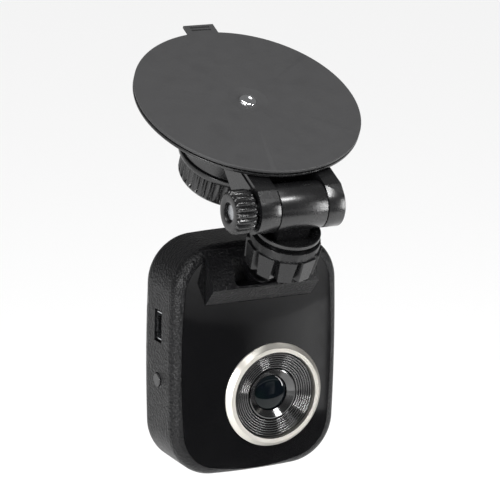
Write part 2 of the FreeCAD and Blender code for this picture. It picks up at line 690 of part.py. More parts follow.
def main_housing():
    body = new_body("main_housing")
    pad(body, outline(body, "XZ", "case_outline", bowed("body_width", "body_height")), SPLIT, back=True)
    soften(body, "corner_radius", along_y)
    soften(body, "front_round", in_plane_y("0"))
    cut(body, case_room(f"-{FRONT_WALL}", body), SPLIT)
    recess = rounded("panel_width + 2 * fit_gap", "panel_height + 2 * fit_gap", "(panel_corner + fit_gap)")
    cut(body, outline(body, "XZ", "panel_recess", recess), "panel_thick")
    wedge = outline(body, "YZ", "wedge_side", [
        ("panel_thick + 0.4", "wedge_edge - wedge_reach"),
        ("panel_thick + 0.4", "wedge_top"),
        ("0", "wedge_top"),
        ("-wedge_reach", "wedge_edge"),
        ("0", "wedge_edge - wedge_reach"),
    ])
    pad(body, wedge, "wedge_width", both=True)
    screw_posts(body, "case_posts", CASE_SCREWS, "screw_radius + 1.6", "-panel_thick - 0.6",
                f"{SPLIT} - panel_thick - 0.6", True)
    screw_posts(body, "board_posts", BOARD_SCREWS, "screw_radius + 1.2", "-panel_thick - 0.6",
                "board_face - panel_thick - 0.6", True)
    opening = rectangle(body, "XZ", "stud_pocket", ("-pocket_width / 2", "pocket_low"),
                        ("pocket_width / 2", "pocket_high"), "wedge_reach + 1")
    cut(body, opening, "wedge_reach + 1.2")
    soften(body, "1.2", lambda e: along_y(e) and abs(abs(e.BoundBox.XMin) - number("pocket_width / 2")) < 1e-3)
    pad(body, stud_circle(body, "stud_boss", "insert_radius + 1.4", "0"), "stud_screwed + 1.6", back=True)
    cut(body, stud_circle(body, "insert_hole", "insert_radius", "0"), "stud_screwed + 0.4")
    cut(body, circles(body, "XZ", "lens_hole", [LENS], "ring_inner + fit_gap"), FRONT_WALL)
    for name, spots, reach in (("case_pilots", CASE_SCREWS, SPLIT), ("board_pilots", BOARD_SCREWS, "board_face")):
        cut(body, circles(body, "XZ", name, spots, "screw_radius", f"-({reach})"), "7", back=True)
    usb = rectangle(body, "YZ", "usb_window", ("side_line - usb_thick / 2 - 0.25", "usb_up - usb_tall / 2 - 0.6"),
                    ("side_line + usb_thick / 2 + 0.25", "usb_up + usb_tall / 2 + 0.6"), "-body_width / 2 - 1")
    cut(body, usb, "wall + 3", back=True)
    hole = circles(body, "YZ", "side_button_hole", [("side_line", "-side_button_down")],
                   "side_button_radius + 0.15", "-body_width / 2 - 1")
    cut(body, hole, "wall + 3", back=True)
    slot = rectangle(body, "YZ", "card_window", (f"{CARD_LOW} - 0.2", "card_up - card_tall / 2 - 0.3"),
                     (f"{CARD_LOW} + card_thick + 0.2", "card_up + card_tall / 2 + 0.3"), "body_width / 2 + 1")
    cut(body, slot, "wall + 3")
    body.Placement = camera_frame


def stud_circle(body, name, radius, lift):
    """A circle about the stud's axis, on the face that the stud screws down on."""
    sketch = circles(body, "XY", name, [("0", "0")], radius, lift)
    sketch.AttachmentOffset = Placement(Vector(), Rotation(X_AXIS, 1))
    sketch.setExpression(".AttachmentOffset.Rotation.Angle", link("90 - stud_rise"))
    sketch.setExpression(".AttachmentOffset.Base.y", link("-ball_ahead + stud_reach * cos(stud_rise)"))
    sketch.setExpression(".AttachmentOffset.Base.z", link("ball_height - stud_reach * sin(stud_rise)"))
    return sketch


CARD_LOW = "(board_face - 0.4 - card_thick)"


def front_panel():
    body = new_body("front_panel")
    face = outline(body, "XZ", "panel_outline", rounded("panel_width", "panel_height", "panel_corner"))
    pad(body, face, "panel_thick", back=True)
    notch = rectangle(body, "XZ", "wedge_notch", ("-wedge_width / 2 - fit_gap", "wedge_edge - wedge_reach - fit_gap"),
                      ("wedge_width / 2 + fit_gap", "panel_height / 2 + 1"))
    cut(body, notch, "panel_thick + 1")
    cut(body, circles(body, "XZ", "ring_window", [LENS], "ring_base + fit_gap"), "panel_thick + 1")
    body.Placement = camera_frame


def rear_cover():
    body = new_body("rear_cover")
    pad(body, outline(body, "XZ", "cover_outline", bowed("body_width", "body_height"), f"-{SPLIT}"),
        "cover_depth", back=True)
    soften(body, "corner_radius", along_y)
    soften(body, "back_round", in_plane_y("body_depth"))
    cut(body, case_room(f"-{SPLIT}", body), "cover_depth - wall")
    screw_posts(body, "cover_posts", CASE_SCREWS, "screw_radius + 1.6", f"-{COVER_FACE} - 0.4",
                "cover_depth - wall + 0.4", False)
    half, tall = "(screen_width / 2 + fit_gap)", "(screen_height / 2 + fit_gap)"
    recess = rectangle(body, "XZ", "screen_recess", (f"-{half}", f"screen_up - {tall}"),
                       (half, f"screen_up + {tall}"), "-body_depth")
    cut(body, recess, "0.9", back=True)
    sight = rectangle(body, "XZ", "screen_sight", (f"-{half} + 1.5", f"screen_up - {tall} + 1.5"),
                      (f"{half} - 1.5", f"screen_up + {tall} - 1.5"), "-body_depth")
    cut(body, sight, "cover_depth", back=True)
    cut(body, circles(body, "XZ", "button_holes", BUTTONS, "button_radius + 0.15", "-body_depth"),
        "cover_depth", back=True)
    cut(body, circles(body, "XZ", "screw_heads", CASE_SCREWS, "case_screw_head + fit_gap", "-body_depth"),
        "1.4", back=True)
    cut(body, circles(body, "XZ", "screw_ways", CASE_SCREWS, "screw_radius + fit_gap", "-body_depth"),
        "cover_depth + 1", back=True)
    grille = [(f"{SPEAKER[0]} + {1.7 * i}", f"{SPEAKER[1]} + {1.7 * k}") for i in (-1, 0, 1) for k in (-1, 0, 1)]
    cut(body, circles(body, "XZ", "speaker_holes", grille, "0.55", "-body_depth"), "cover_depth", back=True)
    body.Placement = camera_frame


BUTTONS = [(f"button_pitch * {k}", "-button_down") for k in (-1.5, -0.5, 0.5, 1.5)]
SPEAKER = ("-8.6", "-23.6")


def screen_window():
    low = ("-screen_width / 2", "body_depth - 0.9", "screen_up - screen_height / 2")
    high = ("screen_width / 2", "body_depth - 0.1", "screen_up + screen_height / 2")
    block("screen_window", low, high)


def display_module():
    half, tall = "(screen_width / 2 + 0.8)", "(screen_height / 2 + 0.8)"
    block("display_module", (f"-{half}", f"{COVER_FACE} - 2.4", f"screen_up - {tall}"),
          (half, COVER_FACE, f"screen_up + {tall}"))


def boards():
    width = "(body_width / 2 - wall - side_bow - 1.4)"
    board = new_body("main_board")
    sheet_of = rectangle(board, "XZ", "board_outline", (f"-{width}", "-20.5"), (width, "20"), "-board_face")
    pad(board, sheet_of, "board_thick", back=True)
    cut(board, circles(board, "XZ", "board_holes", BOARD_SCREWS, "screw_radius", "-board_face"), "board_thick + 1")
    board.Placement = camera_frame
    low = ("lens_across - 9", "10.5", "-lens_down - 9")
    block("sensor_board", low, ("lens_across + 9", "11.5", "-lens_down + 9"))
    low = ("lens_across - 4", "11.5", "-lens_down - 8")
    block("board_connector", low, ("lens_across + 4", "board_face", "-lens_down - 5.5"))
    low = ("lens_across - 3.8", "9.6", "-lens_down - 3")
    block("image_sensor", low, ("lens_across + 3.8", "10.5", "-lens_down + 3"))
    back = "board_face + board_thick"
    block("processor", ("-14", "board_face - 1", "-1.5"), ("-4", "board_face", "8.5"))
    block("memory_chip", ("-1", "board_face - 1", "1"), ("7", "board_face", "10"))
    body = new_body("rear_switches")
    body.AllowCompound = True
    cases = new_sketch(body, "XZ", "switch_cases", f"-({back})")
    for i, (across, up) in enumerate(BUTTONS):
        square(cases, 4 * i, across, up, "1.6")
    pad(body, cases, "1.6", back=True)
    pad(body, circles(body, "XZ", "switch_caps", BUTTONS, "0.8", f"-({back} + 1.5)"), "0.5", back=True)
    body.Placement = camera_frame


def square(sketch, first, across, up, half):
    """A small square about a point, as four sides of the sketch from the given number on."""
    spots = [(f"{across} + {i} * {half}", f"{up} + {k} * {half}") for i, k in ((-1, -1), (1, -1), (1, 1), (-1, 1))]
    for i in range(4):
        here, there = spots[i], spots[(i + 1) % 4]
        sketch.addGeometry(Part.LineSegment(at(*here, 0), at(*there, 0)), False)
    for i in range(4):
        sketch.addConstraint(Sketcher.Constraint("Coincident", first + i, 2, first + (i + 1) % 4, 1))
        tie(sketch, "DistanceX", (-1, 1, first + i, 1), spots[i][0])
        tie(sketch, "DistanceY", (-1, 1, first + i, 1), spots[i][1])


def rear_button(number_in_row):
    """A cap with an inner flange that the rear cover holds in, and a stem to its switch."""
    body = new_body(f"rear_button_{number_in_row}")
    top = "(button_proud)"
    inner = "(-(wall + fit_gap))"
    switch = "(-(body_depth - board_face - board_thick - 2) + 0.1 + press)"
    profile = outline(body, "XZ", f"button_profile_{number_in_row}", [
        ("0", f"{switch}"),
        ("1", f"{switch}"),
        ("1", f"{inner} - 0.7"),
        ("button_radius + 0.7", f"{inner} - 0.7"),
        ("button_radius + 0.7", inner),
        ("button_radius", inner),
        ("button_radius", f"{top} - 0.3"),
        ("button_radius - 0.3", top),
        ("0", top),
    ])
    revolve(body, profile)
    across, up = BUTTONS[number_in_row - 1]
    spot = Placement(at(across, "body_depth", up), Rotation(X_AXIS, -90))
    body.Placement = camera_frame * spot


def side_parts():
    """The round button in the left side with its switch, and the supply socket above it."""
    body = new_body("side_button")
    inner = "(-(wall + fit_gap + side_bow / 3))"
    profile = outline(body, "XZ", "side_button_profile", [
        ("0", f"{inner} - 1.4"),
        ("0.8", f"{inner} - 1.4"),
        ("0.8", f"{inner} - 0.6"),
        ("side_button_radius + 0.6", f"{inner} - 0.6"),
        ("side_button_radius + 0.6", inner),
        ("side_button_radius", inner),
        ("side_button_radius", "0.15"),
        ("side_button_radius - 0.25", "0.4"),
        ("0", "0.4"),
    ])
    revolve(body, profile)
    face = Placement(at(f"-{SIDE}", "side_line", "-side_button_down"), Rotation(Y_AXIS, -90))
    body.Placement = camera_frame * face
    first = f"(-{SIDE} + wall + fit_gap + side_bow / 3 + 1.4 + press + 0.1)"
    block("side_switch", (first, "side_line - 1.8", "-side_button_down - 1.8"),
          (f"{first} + 2.4", "board_face", "-side_button_down + 1.8"))
    shell = new_body("usb_socket")
    thick, tall = "(usb_thick / 2)", "(usb_tall / 2)"
    tube = rectangle(shell, "YZ", "usb_shell", (f"side_line - {thick}", f"usb_up - {tall}"),
                     (f"side_line + {thick}", f"usb_up + {tall}"), f"-{SIDE} + 0.6")
    pad(shell, tube, "9")
    mouth = rectangle(shell, "YZ", "usb_mouth", (f"side_line - {thick} + 0.3", f"usb_up - {tall} + 0.3"),
                      (f"side_line + {thick} - 0.3", f"usb_up + {tall} - 0.3"), f"-{SIDE} + 0.6")
    cut(shell, mouth, "8.6", back=True)
    shell.Placement = camera_frame
    block("usb_tongue", (f"-{SIDE} + 1.4", "side_line - 0.6", f"usb_up - {tall} + 1.6"),
          (f"-{SIDE} + 9.2", "side_line + 0.5", f"usb_up + {tall} - 1.6"))


def card_parts():
    shell = new_body("card_socket")
    low, high = f"{CARD_LOW} - 0.4", "board_face"
    tall = "(card_tall / 2 + 0.8)"
    case = rectangle(shell, "YZ", "card_case", (low, f"card_up - {tall}"), (high, f"card_up + {tall}"),
                     f"{SIDE} - wall - side_bow")
    pad(shell, case, "card_long", back=True)
    mouth = rectangle(shell, "YZ", "card_mouth", (f"{CARD_LOW} - fit_gap", "card_up - card_tall / 2 - fit_gap"),
                      (f"{CARD_LOW} + card_thick + fit_gap", "card_up + card_tall / 2 + fit_gap"),
                      f"{SIDE} - wall - side_bow")
    cut(shell, mouth, "card_long - 0.4")
    shell.Placement = camera_frame
    first = f"({SIDE} + 0.4 - card_long)"
    block("memory_card", (first, CARD_LOW, "card_up - card_tall / 2"),
          (f"{first} + card_long", f"{CARD_LOW} + card_thick", "card_up + card_tall / 2"))


def power_and_sound():
    block("battery", ("-15", FRONT_WALL, "-2.8"), ("9", f"{FRONT_WALL} + 4", "14.5"))
    for name, spot, radius, length in (("speaker", SPEAKER, "3.6", "3"), ("microphone", ("-3.5", "17.2"), "1.9", "1.4")):
        solid = doc.addObject("Part::Cylinder", name)
        solid.Label = name
        solid.setExpression("Radius", link(radius))
        solid.setExpression("Height", link(length))
        start = f"{COVER_FACE} - {length}" if name == "speaker" else "board_face - 1.4"
        spot = Placement(at(spot[0], start, spot[1]), Rotation(X_AXIS, -90))
        solid.Placement = camera_frame * spot


def case_screws():
    body = new_body("case_screws")
    body.AllowCompound = True
    shanks = circles(body, "XZ", "case_shanks", CASE_SCREWS, "screw_radius", f"-({SPLIT} - 6)")
    pad(body, shanks, "cover_depth + 6 - 1.2", back=True)
    heads = circles(body, "XZ", "case_heads", CASE_SCREWS, "case_screw_head", "-(body_depth - 1.4)")
    pad(body, heads, "1", back=True)
    body.Placement = camera_frame


def board_screws():
    body = new_body("board_screws")
    body.AllowCompound = True
    shanks = circles(body, "XZ", "board_shanks", BOARD_SCREWS, "screw_radius", "-(board_face - 5)")
    pad(body, shanks, "5 + board_thick", back=True)
    heads = circles(body, "XZ", "board_heads", BOARD_SCREWS, "screw_radius * 1.8", "-(board_face + board_thick)")
    pad(body, heads, "0.9", back=True)
    body.Placement = camera_frame


# ---- lens, in the lens frame: z = 0 in the panel's face, +z towards the scene ---------------
HOOD_EDGE = "(ring_proud - 1)"


def lens_ring():
    body = new_body("lens_ring")
    profile = outline(body, "XZ", "ring_profile", [
        ("ring_inner", "-panel_thick"),
        ("ring_base", "-panel_thick"),
        ("ring_base", "0.25"),
        ("ring_outer + 0.25", "ring_proud - 0.3"),
        ("ring_outer", "ring_proud"),
        ("ring_inner", "ring_proud"),
    ])
    revolve(body, profile)
    body.Placement = lens_frame


def lens_hood():
    body = new_body("lens_hood")
    outer = "(ring_inner - fit_gap / 2)"
    step = f"(({outer} - 0.4 - hood_mouth) / hood_steps)"
    fall = "(hood_fall / hood_steps)"
    corners = [
        ("hood_mouth", f"{HOOD_EDGE} - hood_fall - 1.1"),
        (outer, f"{HOOD_EDGE} - hood_fall - 1.1"),
        (outer, HOOD_EDGE),
        (f"{outer} - 0.4", HOOD_EDGE),
    ]
    for k in range(int(number("hood_steps"))):
        corners.append((f"{outer} - 0.4 - {k} * {step}", f"{HOOD_EDGE} - {k + 1} * {fall}"))
        corners.append((f"{outer} - 0.4 - {k + 1} * {step}", f"{HOOD_EDGE} - {k + 1} * {fall}"))
    revolve(body, outline(body, "XZ", "hood_profile", corners))
    body.Placement = lens_frame


def lens_barrel():
    body = new_body("lens_barrel")
    mouth = f"({HOOD_EDGE} - hood_fall)"
    profile = outline(body, "XZ", "barrel_profile", [
        ("glass_radius - 1.1", "-9.2"),
        ("barrel_lens - 1.5", "-9.2"),
        ("barrel_lens - 1.5", "-5.6"),
        ("barrel_lens", "-5.6"),
        ("barrel_lens", mouth),
        ("barrel_lens - 0.3", f"{mouth} + 0.1"),
        ("glass_radius", f"{mouth} - 1.3"),
        ("glass_radius", "-5.4"),
        ("glass_radius - 1.1", "-5.4"),
    ])
    revolve(body, profile)
    body.Placement = lens_frame


def lens_glass():
    front = new_body("lens_front")
    rim = f"({HOOD_EDGE} - hood_fall - 1.7)"
    profile = outline(front, "XZ", "front_glass_profile", [
        ("0", "-5.4"),
        ("glass_radius", "-5.4"),
        ("glass_radius", rim, "0.2"),
        ("pole_flat", f"{rim} + 0.8"),
        ("0", f"{rim} + 0.8"),
    ])
    revolve(front, profile)
    front.Placement = lens_frame
    rear = new_body("lens_rear")
    profile = outline(rear, "XZ", "rear_glass_profile", [
        ("0", "-8.9"),
        ("pole_flat", "-8.9", "0.1"),
        ("glass_radius - 1.1", "-8.5"),
        ("glass_radius - 1.1", "-6.8", "0.1"),
        ("pole_flat", "-6.4"),
        ("0", "-6.4"),
    ])
    revolve(rear, profile)
    rear.Placement = lens_frame


def lens_holder():
    body = new_body("lens_holder")
    profile = outline(body, "XZ", "holder_profile", [
        ("barrel_lens - 1.5", "-10.5"),
        ("barrel_lens + 1.4", "-10.5"),
        ("barrel_lens + 1.4", "-9.3"),
        ("barrel_lens", "-9.3"),
        ("barrel_lens", "-6.2"),
        ("barrel_lens - 1.5", "-6.2"),
    ])
    revolve(body, profile)
    body.Placement = lens_frame


# ---- build, check and write -----------------------------------------------------------------
for make in (suction_pad, cup_shell, yoke, yoke_screws, draw_rod, cross_pin, lock_knob,
             hinge_bolt, thumb_knob, arm, ball_seat, ring_nut, ball_stud, thread_insert,
             main_housing, front_panel, rear_cover, screen_window, display_module, boards,
             side_parts, card_parts, power_and_sound, case_screws, board_screws,
             lens_ring, lens_hood, lens_barrel, lens_glass, lens_holder):
    make()
for place in range(1, len(BUTTONS) + 1):
    rear_button(place)
doc.recompute()

faults = [f"{item.Name}: {item.State}" for item in doc.Objects if {"Invalid", "Error"} & set(item.State)]
kinds = ("PartDesign::Body", "Part::Box", "Part::Cylinder")
pieces = [item for item in doc.Objects if item.TypeId in kinds]
faults += [piece.Label for piece in pieces if piece.Shape.isNull() or not piece.Shape.isValid()]
faults += [piece.Label for piece in pieces if piece.Shape.Volume < 1]
if faults:
    raise RuntimeError("failed: " + "; ".join(faults))

os.makedirs("parts", exist_ok=True)
for piece in pieces:
    piece.Shape.exportStep(os.path.join("parts", f"{piece.Label}.step"))
    box = piece.Shape.BoundBox
    print(f"{piece.Label:18s} {len(piece.Shape.Solids)} solid {piece.Shape.Volume:9.1f} mm3"
          f"  x {box.XMin:6.1f} {box.XMax:6.1f}  y {box.YMin:6.1f} {box.YMax:6.1f}  z {box.ZMin:6.1f} {box.ZMax:6.1f}")
print(len(pieces), "pieces")
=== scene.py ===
# %% [markdown]
# # Dash camera on a twist-lock suction mount
# The object is a small black camera that hangs from a suction cup by an arm and a ball joint. The shapes that fit
# and move come from the CAD model, and stay as they are. This lesson adds what a drawing leaves out: rounded
# grips, screw recesses, contacts, and the finish of every surface. One choice runs through it: what comes out of a
# mould or off a lathe is turned or stepped from one profile, because that is how its real edges arise.

import json
import math

import bmesh
import bpy
from mathutils import Matrix, Vector


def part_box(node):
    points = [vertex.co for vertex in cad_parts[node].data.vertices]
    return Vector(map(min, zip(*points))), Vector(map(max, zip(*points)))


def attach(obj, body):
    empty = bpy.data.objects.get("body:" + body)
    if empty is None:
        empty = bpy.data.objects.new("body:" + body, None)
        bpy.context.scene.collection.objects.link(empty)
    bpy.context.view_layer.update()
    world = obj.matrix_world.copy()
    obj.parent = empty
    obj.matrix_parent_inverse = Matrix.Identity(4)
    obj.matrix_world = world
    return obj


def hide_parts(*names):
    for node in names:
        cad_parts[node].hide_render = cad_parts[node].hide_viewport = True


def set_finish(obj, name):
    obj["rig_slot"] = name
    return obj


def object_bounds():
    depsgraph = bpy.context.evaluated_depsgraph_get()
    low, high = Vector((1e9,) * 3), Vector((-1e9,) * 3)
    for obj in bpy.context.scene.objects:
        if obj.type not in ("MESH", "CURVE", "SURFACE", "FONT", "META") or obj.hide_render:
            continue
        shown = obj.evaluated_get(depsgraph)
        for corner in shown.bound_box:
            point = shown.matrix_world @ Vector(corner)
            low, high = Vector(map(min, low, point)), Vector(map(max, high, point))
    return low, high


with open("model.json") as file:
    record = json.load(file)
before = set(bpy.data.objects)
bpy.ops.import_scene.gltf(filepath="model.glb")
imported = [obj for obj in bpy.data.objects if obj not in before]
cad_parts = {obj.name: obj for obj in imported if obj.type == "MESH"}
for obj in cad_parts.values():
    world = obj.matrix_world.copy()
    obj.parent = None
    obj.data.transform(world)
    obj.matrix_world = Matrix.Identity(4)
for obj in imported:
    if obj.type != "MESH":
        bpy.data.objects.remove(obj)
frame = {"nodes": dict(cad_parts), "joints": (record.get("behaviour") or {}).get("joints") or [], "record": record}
cad_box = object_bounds()
nodes = frame["nodes"]
joints = {joint["name"]: joint for joint in frame["joints"]}

# %% [markdown]
# ## Units and axes
# Every Blender length is in metres, but each size below is thought of in millimetres. The suction face leans
# forward, so its axis and the place of the hinge come from the joints instead of being typed again.

# %% Units and axes
MM = 0.001
SUCTION_AXIS = Vector(joints["lock_turn"]["axis"]).normalized()
HINGE = Vector(joints["arm_swing"]["pos_m"])


def middle(name):
    """The middle of a CAD node's box."""
    low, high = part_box(name)
    return (low + high) / 2


def place(origin, axis):
    """The matrix that stands a shape built along +Z on an origin, along an axis."""
    return Matrix.Translation(origin) @ axis.to_track_quat("Z", "Y").to_matrix().to_4x4()


LENS = middle("lens_ring")
print("lens axis at", [round(value / MM, 2) for value in LENS])

# %% [markdown]
# ## Making a mesh
# A bmesh is filled with operators, moved into place and stored. The object itself stays at the origin, unturned,
# as a CAD node's does, so that a pattern in object coordinates means the same on every piece.

# %% Making a mesh
made = []


def piece(name, shape, spot, body, slot, replaced=()):
    """Stores a finished bmesh as an object that rides on a CAD body."""
    bmesh.ops.remove_doubles(shape, verts=shape.verts, dist=0.001 * MM)
    bmesh.ops.recalc_face_normals(shape, faces=shape.faces)
    bmesh.ops.transform(shape, matrix=spot, verts=shape.verts)
    mesh = bpy.data.meshes.new(name)
    shape.to_mesh(mesh)
    shape.free()
    item = bpy.data.objects.new(name, mesh)
    bpy.context.collection.objects.link(item)
    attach(item, body)
    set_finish(item, slot)
    if replaced:
        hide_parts(*replaced)
    made.append(item)
    return item


def turned(profile, steps=96):
    """A lathe shape: a closed profile of (radius, height) in millimetres, spun round Z."""
    shape = bmesh.new()
    points = [shape.verts.new((radius * MM, 0, height * MM)) for radius, height in profile]
    edges = [shape.edges.new((points[k], points[k - 1])) for k in range(len(points))]
    bmesh.ops.spin(shape, geom=points + edges, axis=(0, 0, 1), cent=(0, 0, 0), angle=2 * math.pi,
                   steps=steps, use_merge=True, use_duplicate=False)
    bmesh.ops.remove_doubles(shape, verts=shape.verts, dist=0.001 * MM)
    return shape


def smooth(item, angle):
    """Smooth shading that keeps each edge sharper than the angle."""
    item.data.shade_smooth()
    limit = math.radians(angle)
    shape = bmesh.new()
    shape.from_mesh(item.data)
    for edge in shape.edges:
        edge.smooth = edge.calc_face_angle(0) < limit
    shape.to_mesh(item.data)
    shape.free()


def rounded_edges(item, width, angle, segments):
    """A bevel modifier, for the small radius that a mould or a tumbling drum leaves."""
    bevel = item.modifiers.new("edge_radius", "BEVEL")
    bevel.width = width * MM
    bevel.segments = segments
    bevel.limit_method = "ANGLE"
    bevel.angle_limit = math.radians(angle)
    bevel.harden_normals = False


print("helpers ready")

# %% [markdown]
# ## Thumb knob
# A thumb knob is moulded with ribs that are round on top, so each one catches a small highlight. A gear outline
# with flat tops would look cut, so the rib is a wave: the radius of each point of a turned wall swells and sinks
# round the axis. It is turned first, and then the wall is pushed in between the ribs.


# %% Ribbed lathe shape
WALL_SHARE = 0.75  # only points beyond this share of the widest radius belong to the wall


def ribbed(profile, count, depth, low, high, sharpness, per_rib):
    """A turned shape whose wall between two heights is pushed in between evenly spaced ribs."""
    shape = turned(profile, steps=count * per_rib)
    widest = max(row[0] for row in profile)
    for point in shape.verts:
        radius = math.hypot(point.co.x, point.co.y)
        if low * MM <= point.co.z <= high * MM and radius > WALL_SHARE * widest * MM:
            wave = 0.5 + 0.5 * math.cos(count * math.atan2(point.co.y, point.co.x))
            share = 1 - depth * MM * (1 - wave ** sharpness) / radius
            point.co.x *= share
            point.co.y *= share
    return shape


print("ribbed shape ready")

# %% Thumb knob
thumb_low, thumb_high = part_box("thumb_knob")
THUMB_RADIUS = (thumb_high.z - thumb_low.z) / 2 / MM
THUMB_LENGTH = (thumb_high.x - thumb_low.x) / MM
THUMB_RIBS, THUMB_RIB_DEPTH = 20, 0.65
BOLT_RADIUS = 2
rim, end = THUMB_RADIUS, THUMB_LENGTH
thumb_profile = [
    (BOLT_RADIUS + 0.05, 0), (rim - 1.0, 0), (rim - 0.5, 0.12), (rim - 0.12, 0.45), (rim, 0.8),
    (rim, end - 1.1), (rim - 0.12, end - 0.75), (rim - 0.45, end - 0.4), (rim - 0.95, end - 0.05),
    (rim - 1.15, end),
    (BOLT_RADIUS + 1.05, end), (BOLT_RADIUS + 0.75, end - 0.1), (BOLT_RADIUS + 0.65, end - 0.35),
    (BOLT_RADIUS + 0.6, end - 1.1), (BOLT_RADIUS + 0.05, end - 1.1),
]
grip = ribbed(thumb_profile, THUMB_RIBS, THUMB_RIB_DEPTH, low=0.3, high=end - 0.3, sharpness=0.6, per_rib=12)
thumb = piece("thumb_grip", grip, place(Vector((thumb_high.x, HINGE.y, HINGE.z)), Vector((-1, 0, 0))),
              "thumb_knob", "mount_plastic", ["thumb_knob"])
smooth(thumb, 40)
print("thumb knob", round(THUMB_RADIUS, 2), "mm radius,", THUMB_RIBS, "ribs")

# %% [markdown]
# ## Lock knob
# The knob that draws the suction cup tight is one moulding: a smooth flange, a band of ribs for the fingers and
# a low dome. The same ribbed lathe shape makes it, hollow below, where it sits over the guide tube.

# %% Lock knob
KNOB_START = 17.15  # behind the suction face
FLANGE_RADIUS, FLANGE_HEIGHT = 15.4, 1.7
DRUM_RADIUS, DRUM_TOP = 14, 7.8
DOME_TOP, CHAMBER_RADIUS, CHAMBER_DEPTH = 11.8, 7.75, 7.15
KNOB_RIBS, KNOB_RIB_DEPTH = 36, 0.8
KNOB_DOME_STEPS = 14
dome = []
for k in range(1, KNOB_DOME_STEPS + 1):
    turn = math.pi / 2 * k / KNOB_DOME_STEPS
    # the last point closes the dome on the axis
    radius = DRUM_RADIUS * math.cos(turn) ** 0.8 if k < KNOB_DOME_STEPS else 0
    dome.append((radius, DRUM_TOP + (DOME_TOP - DRUM_TOP) * math.sin(turn)))
knob_profile = [
    (CHAMBER_RADIUS, 0), (FLANGE_RADIUS - 0.4, 0), (FLANGE_RADIUS - 0.1, 0.12), (FLANGE_RADIUS, 0.4),
    (FLANGE_RADIUS, FLANGE_HEIGHT - 0.4), (FLANGE_RADIUS - 0.12, FLANGE_HEIGHT - 0.12),
    (FLANGE_RADIUS - 0.4, FLANGE_HEIGHT), (DRUM_RADIUS - 0.1, FLANGE_HEIGHT),
    (DRUM_RADIUS, FLANGE_HEIGHT + 0.15), (DRUM_RADIUS, DRUM_TOP - 0.3), *dome,
    (0, CHAMBER_DEPTH), (CHAMBER_RADIUS, CHAMBER_DEPTH),
]
drum = ribbed(knob_profile, KNOB_RIBS, KNOB_RIB_DEPTH, low=FLANGE_HEIGHT + 0.1, high=DRUM_TOP - 0.2,
              sharpness=0.6, per_rib=12)
lock = piece("lock_grip", drum, place(-SUCTION_AXIS * KNOB_START * MM, -SUCTION_AXIS),
             "lock_knob", "mount_plastic", ["lock_knob"])
smooth(lock, 40)
print("lock knob", KNOB_RIBS, "ribs,", len(lock.data.polygons), "faces")

# %% [markdown]
# ## Lens hood and front glass
# Round the lens lies a shallow black cone with fine rounded grooves, polished in the mould. Each groove mirrors a
# lamp at one place only, and seven of them side by side draw a fan of light. Flat steps would not do that, so the
# grooves are half waves in the profile that is turned.

# %% Lens hood
HOOD_OUTER, HOOD_INNER = 12.1, 7.2
HOOD_TOP, HOOD_FALL, HOOD_BACK = 0.6, 0.7, -1.2
HOOD_GROOVES, GROOVE_DEPTH, GROOVE_POINTS = 7, 0.27, 8
GROOVES_OUTER, GROOVES_INNER = HOOD_OUTER - 0.35, HOOD_INNER + 0.1
LENS_SPOT = place(Vector((LENS.x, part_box("front_panel")[0].y, LENS.z)), Vector((0, -1, 0)))
hood_profile = [(HOOD_INNER, HOOD_BACK), (HOOD_OUTER, HOOD_BACK), (HOOD_OUTER, HOOD_TOP),
                (HOOD_OUTER - 0.3, HOOD_TOP)]
for k in range(HOOD_GROOVES * GROOVE_POINTS + 1):
    share = k / (HOOD_GROOVES * GROOVE_POINTS)
    ridge = abs(math.sin(math.pi * HOOD_GROOVES * share))
    hood_profile.append((GROOVES_OUTER - share * (GROOVES_OUTER - GROOVES_INNER),
                         HOOD_TOP - 0.15 - share * HOOD_FALL + GROOVE_DEPTH * ridge))
hood_profile.append((HOOD_INNER, HOOD_TOP - 0.25 - HOOD_FALL))
hood = piece("hood_rings", turned(hood_profile, 144), LENS_SPOT, "camera", "lens_black", ["lens_hood"])
smooth(hood, 60)

# %% Front glass
# a low dome with a bevelled rim; its finish is opaque and nearly black, so nothing behind it has to be seen
GLASS_RADIUS, GLASS_RIM, GLASS_RISE, GLASS_BACK = 4.95, -1.95, 0.55, -5.3
glass_profile = [(0, GLASS_BACK), (GLASS_RADIUS, GLASS_BACK), (GLASS_RADIUS, GLASS_RIM - 0.1),
                 (GLASS_RADIUS - 0.1, GLASS_RIM)]
DOME_STEPS = 12
for k in range(1, DOME_STEPS + 1):
    turn = math.pi / 2 * k / DOME_STEPS
    glass_profile.append((max(0, (GLASS_RADIUS - 0.1) * math.cos(turn)), GLASS_RIM + GLASS_RISE * math.sin(turn)))
front = piece("front_element", turned(glass_profile, 96), LENS_SPOT, "camera", "glass", ["lens_front"])
smooth(front, 40)
print("hood", HOOD_GROOVES, "grooves, glass rises", GLASS_RISE, "mm")

# %% [markdown]
# ## Rivet
# The head of the draw rod shows in the middle of the suction face as a small plated rivet: a rounded rim and a
# shallow dimple where the tool held it.

# %% Rivet
RIVET_RADIUS, RIVET_SINK = 2.35, 0.35
rivet_profile = [(0, -0.3), (RIVET_RADIUS, -0.3), (RIVET_RADIUS, 0.1), (RIVET_RADIUS - 0.12, 0.3),
                 (RIVET_RADIUS - 0.45, 0.48), (RIVET_RADIUS - 0.9, 0.52), (RIVET_RADIUS - 1.2, 0.42),
                 (RIVET_RADIUS - 1.5, 0.2), (0.5, 0.12), (0, 0.1)]
rivet = piece("rivet_head", turned(rivet_profile, 64), place(-SUCTION_AXIS * RIVET_SINK * MM, SUCTION_AXIS),
              "draw_rod", "rivet_chrome")
smooth(rivet, 50)
print("rivet", 2 * RIVET_RADIUS, "mm across")

# %% [markdown]
# ## Edges of the moulded CAD parts
# A CAD edge is perfectly sharp, and no moulded edge is. A weld modifier first joins the points that the CAD export
# leaves split, and a bevel modifier then gives each hard edge its small radius. The mesh itself isn't touched.

